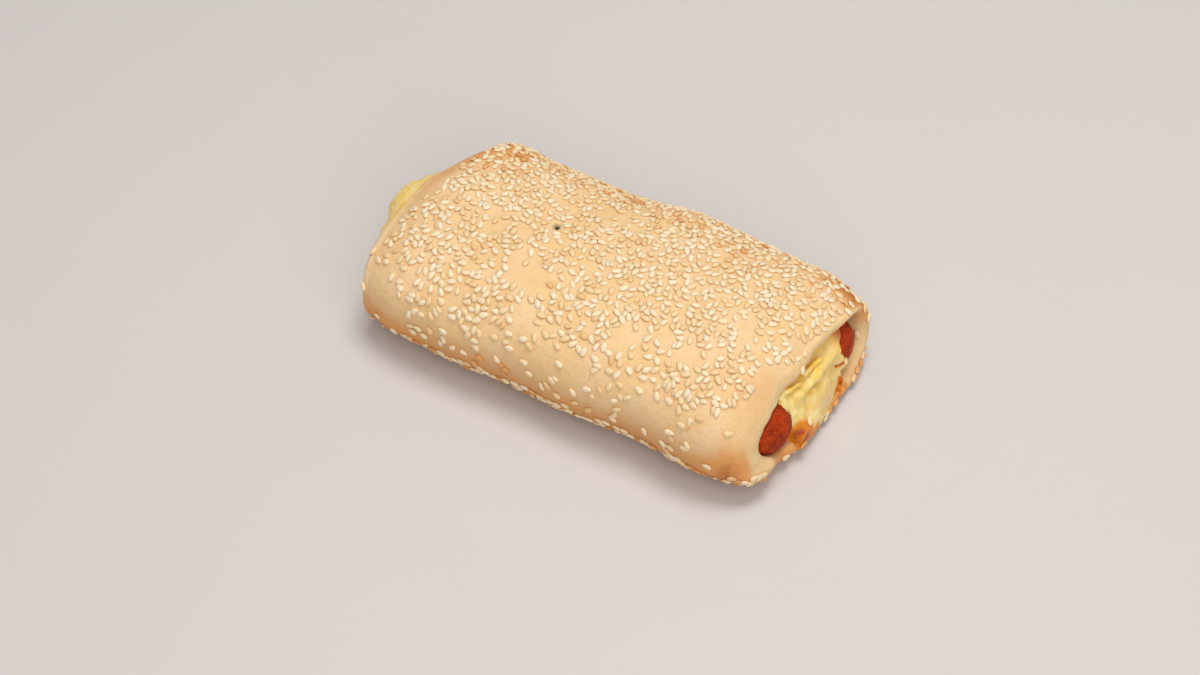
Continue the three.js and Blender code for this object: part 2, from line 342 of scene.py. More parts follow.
view = {
    "picture": (1200, 675),
    "lens": 70.0,
    "sensor": 36.0,
    "azimuth": 29.6,
    "elevation": 50.3,
    "distance": 753.0,
    "clipStart": 0.01,
    "right": -5.81,  # the aim point, from the roll's origin
    "up": 1.775,
}


def viewAxes():
    turn, lift = math.radians(view["azimuth"]), math.radians(view["elevation"])
    back = Vector((math.sin(turn) * math.cos(lift), -math.cos(turn) * math.cos(lift), math.sin(lift)))
    right = Vector((math.cos(turn), math.sin(turn), 0))
    return right, back.cross(right), back


def cameraPlace():
    right, up, back = viewAxes()
    aim = Vector(toMetres((0, 0, 0))) + (right * view["right"] + up * view["up"]) * millimetre
    return aim + back * view["distance"] * millimetre


def lookingThrough(across, down):
    # The way in which a place of the picture looks
    right, up, back = viewAxes()
    width, height = view["picture"]
    focal = view["lens"] / view["sensor"] * width
    return (right * (across - width / 2) / focal - up * (down - height / 2) / focal - back).normalized()

# Dough sleeve

sleeve = {
    "nearSide": 40.1,
    "farSide": 40.9,
    "height": 38.8,
    "waist": 0.42,  # height of the widest part, as a share
    "roundness": 2.6,  # 2 is an ellipse, more is boxier
    "footRoundness": 2.4,
    "footing": 2.2,  # how far the foot would reach under the table
    "easeLength": 26.0,  # how far from its mouths the roll narrows
    "narrowPower": 2.4,
    "liftPower": 3,
    "setBackPower": 1.5,
    "cornerPower": 6,
    "farCornerFrom": 6.0,
    "around": 208,
    "along": 216,
    "sectionAt": 10.0,  # the section whose points are spaced evenly, and how finely that is measured
    "sectionSteps": 4000,
    "evenly": 0.6,  # share of even spacing, the rest being closer at the mouths
    "boreRings": 21,
    "mouthSteps": 8,
    "boreGap": 0.15,
    "boreInset": 1.5,
    "lipRings": 18,
    "lipSkew": 0.7,  # how much sharper the near lip is on its inner side
    "lipSkewAcross": (-8, 12),
    "lipSkewUp": (6, 14),
    "swell": [(0.55, 24.0, 1.3), (0.22, 8.5, 4.4), (0.06, 2.6, 7.7)],
    "swellFrom": (0.3, 6),
    "lipSwell": 0.6,  # how much less the lips swell
    "torn": (0.26, 2.4, 30.0),
    "tornMiddle": 0.62,
    "tornWidth": 0.28,
}
rightMouth = {
    "reach": 71.0, "topSetBack": 8.6, "farHold": 0.7, "nearSlope": 4.0, "nearRound": 3.2,
    "farSlope": 0.2, "farRound": 1.2, "nearTaper": 3.4, "farTaper": 2.4,
    "drop": 6.2, "lift": 2.8, "flare": 2.4, "lipBulge": 2.6,
}
leftMouth = {
    "reach": 75.6, "topSetBack": 2.4, "farHold": 0.0, "nearSlope": 0.3, "nearRound": 4.5,
    "farSlope": 12.0, "farRound": 1.0, "nearTaper": 3.2, "farTaper": 4.2,
    "drop": 6.0, "lift": 1.2, "flare": 1.6, "lipBulge": 2.4,
}
# How a mouth stands open over the filling: none at its foot, little round the near sausage
opening = {"from": 4, "over": 20, "nearPress": 0.95, "pressed": (6, 18)}
dent = {"depth": 2.0, "width": 11.0, "atX": -12.0, "atY": 30.0, "slant": 0.55, "fromY": -5, "over": 30}
# The pin hole's shade grows with its depth, and the ground round it bears no seeds
pinHole = {
    "at": (-24.8, 4.4, 38.0), "radius": 1.15, "depth": 2.0, "shade": 2.2, "shadeFrom": 0.4,
    "seedFree": (2.0, 1.5),
}
# Where the dough was pulled or pressed by hand: centre, radius and how far
mouldings = [
    ((63, -4, 28), 7.5, (1.8, 0, -0.4)),
    ((63.5, 8, 28), 8, (1.3, 0, -0.4)),
    ((65, 20, 27), 7, (1.2, 0, -0.2)),
    ((63, -20, 24), 6.5, (1.7, 0, -0.2)),
    ((66, -30, 14), 8.5, (2.1, 0.2, 0)),
    ((64, -27, 21), 5, (0.8, 0, 0)),
    ((67, -27.5, 8), 5.5, (1.4, 0.8, 0.8)),
    ((68.5, -23, 7), 5.5, (0, 0, 1.8)),
    ((69.5, -14, 6.5), 5.5, (0, 0, 2.2)),
    ((72, -25, 2), 9, (-3.4, 1.4, 0)),
    ((73, 2, 3), 8, (-0.6, 0, -0.3)),
    ((72, 20, 6), 9, (0.8, 0, 0)),
    ((69, 37, 26), 9, (-1.2, -0.6, -0.2)),
    ((-75, -31, 2), 8, (2, 1.6, 0)),
    ((-77, -31, 14), 8, (-2.2, 0, 0)),
    ((-62, 21, 35), 9, (-1.6, 0.2, 0.6)),
    ((-58, 32, 33), 9, (-0.4, 0.4, 0.8)),
    ((-46, 34, 31), 9, (0, -0.9, -1)),
    ((-34, 34, 31), 10, (0, -1.2, -1.6)),
    ((-20, 34, 31), 9, (0, -1, -1.3)),
    ((10, 34, 31), 12, (0, 0.9, 0.9)),
    ((25, 34, 31), 8, (0, 0.4, 0.4)),
    ((51, 33, 32), 9, (0, -0.6, -0.6)),
    ((-48, -41, 12), 13, (0, 0.8, 0)),
    ((-16, -41, 14), 16, (0, 1, 0)),
    ((24, -41, 14), 14, (0, 1.6, 0)),
]
# Where seeds lie closer or sparser than around: centre, radius and how much
seedPatches = [
    ((20, -23, 37), 8, -0.9), ((26, -19, 38), 4, -0.6), ((15, -25, 36), 4, -0.6),
    ((30, -32, 33), 4, -0.7), ((-22, -19, 38), 6.5, -1.1), ((-14, -27, 36), 4, -0.7),
    ((-12, -33, 32), 6.5, -0.7), ((2, -35, 30), 5, -1), ((-41, -34, 32), 8.5, -0.3),
    ((58, -33, 28), 7, -1.3), ((48, -35, 30), 4.5, -1.2), ((61, -13, 32), 5, -0.6),
    ((64, -3, 32), 4, -0.4), ((38, -19, 38), 4, -0.9), ((48, -5, 39), 4, -0.7), ((-7, -7, 39), 4, -0.5),
    ((-12, 18, 37), 5, -1), ((-64, -35, 28), 8, -1), ((-72, 1, 34), 6.5, -0.9),
    ((-73, -10, 33), 4, -0.6), ((-71, -22, 32), 4, -0.4), ((-41, -3, 38), 5, -0.7),
    ((-41, -15, 38), 4, -0.5), ((68, 30, 27), 4, -0.9), ((14, -39, 21), 4, -0.6),
    ((-53, 18, 38), 11, 0.7), ((12, 23, 37), 11, 0.6), ((46, 20, 37), 11, 0.7),
    ((33, -8, 39), 6.5, 0.6), ((-25, -27, 36), 4.5, 0.8), ((38, -33, 32), 4.5, 0.8),
    ((52, -30, 34), 4.5, 0.6), ((56, -2, 37), 5, 0.5), ((17, -14, 39), 5, 0.4), ((56, -22, 35), 4, 0.4),
    ((44, -26, 36), 6, 0.4),
]
# How densely seeds stick: dense over the top and the far side, a few on the near flank
seeding = {
    "top": 0.94,
    "waves": [(0.95, 4.5, 3.1), (0.25, 14.0, 9.7)],
    "farMore": 0.25,
    "farFrom": (-6, 14),
    "nearFrom": (14, 24),
    "flankEdge": 32.5,
    "flankEdgeDrop": 4.5,
    "dropFrom": (5, 35),
    "fadeBelow": 5,
    "fadeAbove": 2,
    "flank": 0.33,
    "flankWave": (1, 6.0, 21.0),
    "flankFrom": (-0.2, 0.3),
    # Bare rims at the mouths: how wide, how that changes across, and how far they fade
    "right": {
        "bare": 2.2, "less": 3.4, "lessFrom": (-14, -7), "corner": 8, "cornerFrom": (31, 35), "fade": 1.0,
    },
    "left": {"bare": 2.0, "more": 4.0, "moreFrom": (-12, 2), "far": 1.5, "farFrom": (8, 18), "fade": 1.5},
    "fadeOut": 0.5,
    "overLip": (0.02, 0.16),
    "heightFrom": (7.0, 12.0),
}
# Clumps along the foot and a few under the right mouth
footSeeding = {
    "clumps": (1, 9.0, 17.0),
    "finer": (0.5, 3.5, 5.0),
    "clumpFrom": (-0.8, -0.3),
    "height": 9.0,
    "higher": 6.0,
    "lowest": 6.0,
    "fade": 2,
    "from": (0.6, 1.8),
    "outFrom": (24, 32),
    "leftLess": 0.6,
    "leftFrom": (52, 66),
    "leftAbove": (4, 8),
    "rim": 0.6,
    "rimFrom": (66, 70),
    "rimAbove": (0.3, 1.2),
    "rimBelow": (5, 8),
    "overLip": (0.25, 0.4),
}
# Browning of the crust: golden low on the sides and at the back, brown on the corners. The gold low on the
# sides, on faces turned down and in the low left corner is partly painted shade
browning = {
    "side": 0.2,
    "sideFrom": (-26, -12),
    "low": 0.15,
    "lowFrom": (-14, -4),
    "back": 0.2,
    "backFrom": (18, 36),
    "wave": (0.12, 22.0, 5.0),
    "leftEdge": 0.3,
    "leftEdgeWidth": (2, 9),
    "leftEdgeFrom": (-10, 6),
    "rightEdge": 0.14,
    "rightEdgeWidth": (2, 7),
    "rightEdgeFrom": (6, 16),
    "under": 0.3,
    "underFrom": (0.2, 0.9),
    "spots": [
        ((59, -38, 15), 7.0, 0.55), ((66, -36, 5), 7.0, 0.25), ((67, 35, 25), 9.5, 1.1),
        ((-57, 28, 34), 13.0, 0.35), ((-70, -32, 5), 15.0, 0.6),
    ],
    # The lips stay pale but for a few places
    "rim": 0.22,
    "rimFrom": (60, 66),
    "rimLow": (-9, -3),
    "rimSpots": [
        ((70, 36, 22), 6.5, 0.7), ((71, -19, 2.5), 7.0, 0.9), ((73, 0, 2.5), 8.0, 0.7),
        ((-72, 12, 31), 10.0, 0.7), ((72.8, 16.6, 4.8), 1.5, 0.6), ((72.6, 12.2, 4.4), 2.0, 0.8),
    ],
    "underSeeds": 0.14,
    "underSeedsFrom": (14, 26),
    "most": 1.2,
}
# The sides darken towards the table, most of all at the left end: partly a browner base of the baked dough,
# partly painted shade
tanningAndShade = {
    "top": -27, "foot": -5, "leftFrom": (40, 60), "leftTop": 6, "leftMore": 0.6, "leftLow": (-17, -10),
    "wave": (0.08, 16.0, 2.4),
}
# Where the pale crumb starts on a lip, later on the near side, and its one place of painted shade, where the
# dough folds under the near corner of the right mouth
crumb = {
    "start": 0.05, "full": 0.34, "nearStart": 0.17, "nearFull": 0.2,
    "nearAbove": (9, 15), "nearSide": (14, 22),
    "foldShade": ((67, -33, 5), 4.5, 1.3),
}


def signedPower(value, power):
    return np.sign(value) * np.abs(value) ** power


def lipSetBack(mouth, y, rise, nearWidth, farWidth):
    # How far a lip lies behind the mouth's lowest point
    corner = sleeve["cornerPower"]
    nearShare = np.clip(-y / nearWidth, 0, 1)
    farShare = np.clip((y - sleeve["farCornerFrom"]) / (farWidth - sleeve["farCornerFrom"]), 0, 1)
    setBack = mouth["nearSlope"] * nearShare + mouth["nearRound"] * nearShare ** corner
    setBack = setBack + mouth["farSlope"] * farShare + mouth["farRound"] * farShare ** corner
    return setBack + mouth["topSetBack"] * (1 - mouth["farHold"] * farShare) * rise ** 2


def crustPoints(x, angle):
    # Points of the crust: angle 0 is the far side, a quarter turn the top, half a turn the near side
    right = x > 0
    mouth = {key: np.where(right, rightMouth[key], leftMouth[key]) for key in rightMouth}
    ease = sleeve["easeLength"]
    share = np.clip((np.abs(x) - (mouth["reach"] - ease)) / ease, 0, 1)
    narrowing = share ** sleeve["narrowPower"]
    nearWidth = sleeve["nearSide"] - mouth["nearTaper"] * narrowing
    farWidth = sleeve["farSide"] - mouth["farTaper"] * narrowing
    height = sleeve["height"] - mouth["drop"] * narrowing
    waist = sleeve["waist"] * height
    across = np.cos(angle)
    upward = np.sin(angle)
    y = np.where(across < 0, nearWidth, farWidth) * signedPower(across, 2 / sleeve["roundness"])
    above = waist + (height - waist) * signedPower(upward, 2 / sleeve["roundness"])
    footDepth = (waist + sleeve["footing"]) * np.abs(upward) ** (2 / sleeve["footRoundness"])
    below = np.maximum(0, waist - footDepth)
    below = below + mouth["lift"] * share ** sleeve["liftPower"] * (1 - below / waist)
    z = np.where(upward < 0, below, above)
    rise = z / height
    dentLine = dent["atX"] + (y - dent["atY"]) * dent["slant"]
    dented = np.clip((y - dent["fromY"]) / dent["over"], 0, 1)
    z = z - dent["depth"] * bell(x, dentLine, dent["width"]) * dented * rise ** 2
    setBack = lipSetBack(mouth, y, rise, nearWidth, farWidth)
    return np.stack([x - np.sign(x) * setBack * share ** sleeve["setBackPower"], y, z], axis=-1)


def mouthOpening(y, z):
    pressed = opening["nearPress"] * smooth(-y, *opening["pressed"])
    return np.clip((z - opening["from"]) / opening["over"], 0, 1) * (1 - pressed)


def borePoints(crust, x, flare):
    # The bore is a slot with two round sides, each round a sausage
    stretched = flare * mouthOpening(crust[..., 1], crust[..., 2])
    radius = sausages["radius"] + sleeve["boreGap"] + stretched
    axisY = np.clip(crust[..., 1], sausages["near"]["axisY"], sausages["far"]["axisY"])
    away = np.stack([crust[..., 1] - axisY, crust[..., 2] - sausages["axisHeight"]], axis=-1)
    away = away / np.linalg.norm(away, axis=-1, keepdims=True) * radius[..., None]
    return np.stack([x, axisY + away[..., 0], sausages["axisHeight"] + away[..., 1]], axis=-1)


def evenAngles():
    # Angles that space the points of a section evenly along its outline
    dense = np.linspace(0, 2 * np.pi, sleeve["sectionSteps"] + 1)
    outline = crustPoints(np.full_like(dense, sleeve["sectionAt"]), dense)
    lengths = np.linalg.norm(np.diff(outline, axis=0), axis=1)
    travelled = np.concatenate([[0], np.cumsum(lengths)])
    wanted = np.linspace(0, travelled[-1], sleeve["around"] + 1)[:-1]
    return np.interp(wanted, travelled, dense)


angles = evenAngles()


def crustRing(x):
    return crustPoints(np.full_like(angles, x), angles)


def mouthRing(mouth, direction):
    ring = crustRing(direction * mouth["reach"])
    return borePoints(ring, ring[:, 0] - direction * sleeve["boreInset"], mouth["flare"])


def lipRings(outer, inner, direction, bulge):
    rings = []
    skew = smooth(-outer[:, 1], *sleeve["lipSkewAcross"]) * smooth(outer[:, 2], *sleeve["lipSkewUp"])
    skew = 1 + sleeve["lipSkew"] * skew
    for step in range(sleeve["lipRings"]):
        share = (step + 1) / (sleeve["lipRings"] + 1)
        ring = outer + (inner - outer) * (1 - math.cos(math.pi * share)) / 2
        ring[:, 0] += direction * bulge * np.sin(math.pi * share ** skew)
        rings.append(ring)
    return rings


def boreRings():
    fromX = rightMouth["reach"] - sleeve["easeLength"]
    toX = sleeve["easeLength"] - leftMouth["reach"]
    middle = []
    for x in np.linspace(fromX, toX, sleeve["boreRings"]):
        middle.append(borePoints(crustRing(x), np.full_like(angles, x), 0.0))
    first, last = mouthRing(rightMouth, 1), mouthRing(leftMouth, -1)
    # Extra rings between each mouth and the even part of the bore
    shares = np.linspace(0, 1, sleeve["mouthSteps"] + 1)[1:]
    rings = [first]
    rings += [first * (1 - share) + middle[0] * share for share in shares[:-1]]
    rings += middle
    rings += [middle[-1] * (1 - share) + last * share for share in shares]
    return rings


def quadsBetween(rings, around):
    faces = []
    for ring in range(rings):
        here = ring * around
        there = ((ring + 1) % rings) * around
        for index in range(around):
            following = (index + 1) % around
            faces.append((here + index, here + following, there + following, there + index))
    return faces


def moulded(points):
    for centre, radius, move in mouldings:
        points = points + spot(points, centre, radius)[:, None] * np.array(move)
    return points


def behindLip(points, mouth, direction):
    # How far behind the lip of one end each point lies
    x, y, z = points.T
    nearWidth = sleeve["nearSide"] - mouth["nearTaper"]
    farWidth = sleeve["farSide"] - mouth["farTaper"]
    rise = z / (sleeve["height"] - mouth["drop"])
    return mouth["reach"] - lipSetBack(mouth, y, rise, nearWidth, farWidth) - direction * x


def topSeeds(points, kind):
    x, y, z = points.T
    rule = seeding
    edge = rule["flankEdge"] - rule["flankEdgeDrop"] * smooth(-x, *rule["dropFrom"])
    near = smooth(-y, *rule["nearFrom"])
    share = withWaves(rule["top"], points, rule["waves"])
    share += rule["farMore"] * smooth(y, *rule["farFrom"])
    share *= 1 - near * (1 - smooth(z, edge - rule["fadeBelow"], edge + rule["fadeAbove"]))
    share = withSpots(share, points, seedPatches)
    flank = smooth(wave(points, *rule["flankWave"]), *rule["flankFrom"])
    share = np.maximum(share, rule["flank"] * near * flank)
    right, left = rule["right"], rule["left"]
    bare = right["bare"] - right["less"] * smooth(y, *right["lessFrom"])
    behind = behindLip(points, rightMouth, 1) + right["corner"] * smooth(y, *right["cornerFrom"])
    share *= smooth(behind, bare - right["fade"], bare + rule["fadeOut"])
    farther = smooth(y, *left["farFrom"])
    bare = left["bare"] + left["more"] * smooth(y, *left["moreFrom"]) * (1 - farther) + left["far"] * farther
    behind = behindLip(points, leftMouth, -1)
    share *= smooth(behind, bare - left["fade"], bare + rule["fadeOut"])
    share *= 1 - np.clip(withSpots(0, points, [(pinHole["at"], *pinHole["seedFree"])]), 0, 1)
    share *= 1 - smooth(kind, *rule["overLip"])
    return share * smooth(z, *rule["heightFrom"])


def footSeeds(points, kind):
    x, y, z = points.T
    rule = footSeeding
    clumps = wave(points, *rule["clumps"])
    top = np.maximum(rule["height"] + rule["higher"] * clumps, rule["lowest"])
    foot = smooth(z, *rule["from"]) * (1 - smooth(z, top - rule["fade"], top + rule["fade"]))
    foot = foot * smooth(np.abs(y), *rule["outFrom"])
    foot *= smooth(clumps + wave(points, *rule["finer"]), *rule["clumpFrom"])
    foot *= 1 - rule["leftLess"] * smooth(-x, *rule["leftFrom"]) * smooth(z, *rule["leftAbove"])
    rim = rule["rim"] * smooth(x, *rule["rimFrom"]) * smooth(z, *rule["rimAbove"])
    rim = rim * (1 - smooth(z, *rule["rimBelow"]))
    return np.maximum(foot, rim) * (1 - smooth(kind, *rule["overLip"]))


def seedShares(points, kind):
    return np.clip(np.maximum(topSeeds(points, kind), footSeeds(points, kind)), 0, 1) ** 2


def bakedShares(points, normals, lip):
    x, y, z = points.T
    rule = browning
    # Gold low on the sides: partly browning, partly painted shade
    baked = rule["side"] * smooth(-z, *rule["sideFrom"]) + rule["low"] * smooth(-z, *rule["lowFrom"])
    baked += rule["back"] * smooth(y, *rule["backFrom"]) + wave(points, *rule["wave"])
    leftEdge = 1 - smooth(behindLip(points, leftMouth, -1), *rule["leftEdgeWidth"])
    baked += rule["leftEdge"] * leftEdge * smooth(y, *rule["leftEdgeFrom"])
    rightEdge = 1 - smooth(behindLip(points, rightMouth, 1), *rule["rightEdgeWidth"])
    baked += rule["rightEdge"] * rightEdge * smooth(-y, *rule["rightEdgeFrom"])
    # Partly painted shade on faces turned down
    baked += rule["under"] * smooth(-normals[:, 2], *rule["underFrom"])
    baked = withSpots(baked, points, rule["spots"])
    rims = rule["rim"] * smooth(x, *rule["rimFrom"]) * smooth(-z, *rule["rimLow"])
    rims = withSpots(rims, points, rule["rimSpots"])
    return np.clip(baked * (1 - lip) + rims * lip, 0, rule["most"])


def tanAndShadeShares(points):
    x, y, z = points.T
    left = smooth(-x, *tanningAndShade["leftFrom"])
    tanAndShadeShare = smooth(-z, tanningAndShade["top"] + tanningAndShade["leftTop"] * left, tanningAndShade["foot"])
    tanAndShadeShare *= 1 + tanningAndShade["leftMore"] * left * smooth(-z, *tanningAndShade["leftLow"])
    return np.clip(tanAndShadeShare + wave(points, *tanningAndShade["wave"]), 0, 1)


def swollen(points, kind):
    # The baked dough's own unevenness, fading out in the bore and where the roll lies on the table
    lips = 1 - sleeve["lipSwell"] * np.clip(kind, 0, 1)
    swell = withWaves(0.0, points, sleeve["swell"])
    swell *= smooth(points[:, 2], *sleeve["swellFrom"]) * np.where(kind == 2, 0.0, lips)
    # The lips' inner edges are a little torn
    return swell + wave(points, *sleeve["torn"]) * bell(kind, sleeve["tornMiddle"], sleeve["tornWidth"])


def makeSleeve():
    reachOf = {1: rightMouth["reach"], -1: leftMouth["reach"]}
    evenly = sleeve["evenly"]
    outer = []
    for share in np.linspace(-1, 1, sleeve["along"]):
        spread = evenly * share + (1 - evenly) * math.sin(share * math.pi / 2)
        outer.append(crustRing(spread * reachOf[1 if share > 0 else -1]))
    bore = boreRings()
    rightLip = lipRings(outer[-1], bore[0], 1, rightMouth["lipBulge"])
    leftLip = lipRings(bore[-1], outer[0], -1, leftMouth["lipBulge"])
    rings = outer + rightLip + bore + leftLip
    shaped = moulded(np.concatenate(rings))
    around = sleeve["around"]
    # 0 on the crust, rising to 1 over each lip, and 2 in the bore
    kind = np.concatenate([
        np.zeros(len(outer) * around),
        np.repeat(np.linspace(0, 1, len(rightLip) + 2)[1:-1], around),
        np.full(len(bore) * around, 2.0),
        np.repeat(np.linspace(1, 0, len(leftLip) + 2)[1:-1], around),
    ])
    onCrust = kind < 2
    crust = meshObject("crust", shaped, quadsBetween(len(rings), around), finishes["crust"])
    normals = vertexNormals(crust)
    points = shaped + normals * swollen(shaped, kind)[:, None]
    pin = spot(points, pinHole["at"], pinHole["radius"]) * onCrust
    points[:, 2] -= pinHole["depth"] * pin
    points[:, 2] = np.maximum(points[:, 2], 0.0)
    placeVertices(crust, points)
    side = smooth(shaped[:, 2], *crumb["nearAbove"]) * smooth(-shaped[:, 1], *crumb["nearSide"])
    start = crumb["start"] + crumb["nearStart"] * side
    full = crumb["full"] + crumb["nearFull"] * side
    lip = smooth(np.clip(kind, 0, 1), start, full)
    seeded = seedShares(points, kind)
    baked = bakedShares(points, normals, lip)
    baked += browning["underSeeds"] * seeded * smooth(-shaped[:, 1], *browning["underSeedsFrom"])
    keepShares(crust, {
        "pale": lip,
        "foldShade": np.clip(withSpots(0, points, [crumb["foldShade"]]), 0, 1),
        "baked": baked * onCrust,
        # Partly painted shade towards the table
        "tanAndShade": tanAndShadeShares(points) * (1 - lip),
        "pin": np.clip(pin * pinHole["shade"] - pinHole["shadeFrom"], 0, 1),
        "seedShare": seeded,
    })
    return crust


crust = makeSleeve()
print("dough sleeve made:", len(crust.data.polygons), "faces")

# Sausages

def turnedForm(places, radii, around):
    # A closed form turned about X, with a point at each end
    angle = np.linspace(0, 2 * np.pi, around, endpoint=False)
    rings = []
    for x, radius in zip(places[1:-1], radii[1:-1]):
        ring = [np.full_like(angle, x), radius * np.cos(angle), radius * np.sin(angle)]
        rings.append(np.stack(ring, axis=-1))
    points = np.concatenate(rings + [[[places[0], 0, 0]], [[places[-1], 0, 0]]])
    faces = quadsBetween(len(rings), around)[:-around]
    first, last = len(points) - 2, len(points) - 1
    top = (len(rings) - 1) * around
    for index in range(around):
        following = (index + 1) % around
        faces.append((first, following, index))
        faces.append((last, top + index, top + following))
    return points, faces


def makeSausage(name, place):
    radius = sausages["radius"] - place["slimmer"]
    middle = (place["left"] + place["right"]) / 2
    halfLength = (place["right"] - place["left"]) / 2
    turns = np.linspace(0, np.pi / 2, sausages["noseRings"])
    noseX = halfLength - place["nose"] * (1 - np.cos(turns))
    noseR = radius * np.sin(turns)
    shank = np.linspace(-noseX[-1], noseX[-1], sausages["along"])[1:-1]
    alongX = np.concatenate([-noseX, shank, noseX[::-1]])
    radii = np.concatenate([noseR, np.full(len(shank), radius), noseR[::-1]])
    points, faces = turnedForm(alongX, radii, sausages["around"])
    away = points * np.array([sausages["noseBumps"], 1, 1])
    away /= np.linalg.norm(away, axis=1, keepdims=True) + tiny
    points = points + away * (withWaves(0, points, place["waves"]) - sausages["shrunk"])[:, None]
    points += np.array([middle, place["axisY"], sausages["axisHeight"] + place["raised"]])
    return meshObject(name, points, faces, finishes["sausage"])


nearSausage = makeSausage("sausage_one", sausages["near"])
farSausage = makeSausage("sausage_two", sausages["far"])
print("sausages made")

# Melted cheese, as a field of distances that is then given a skin

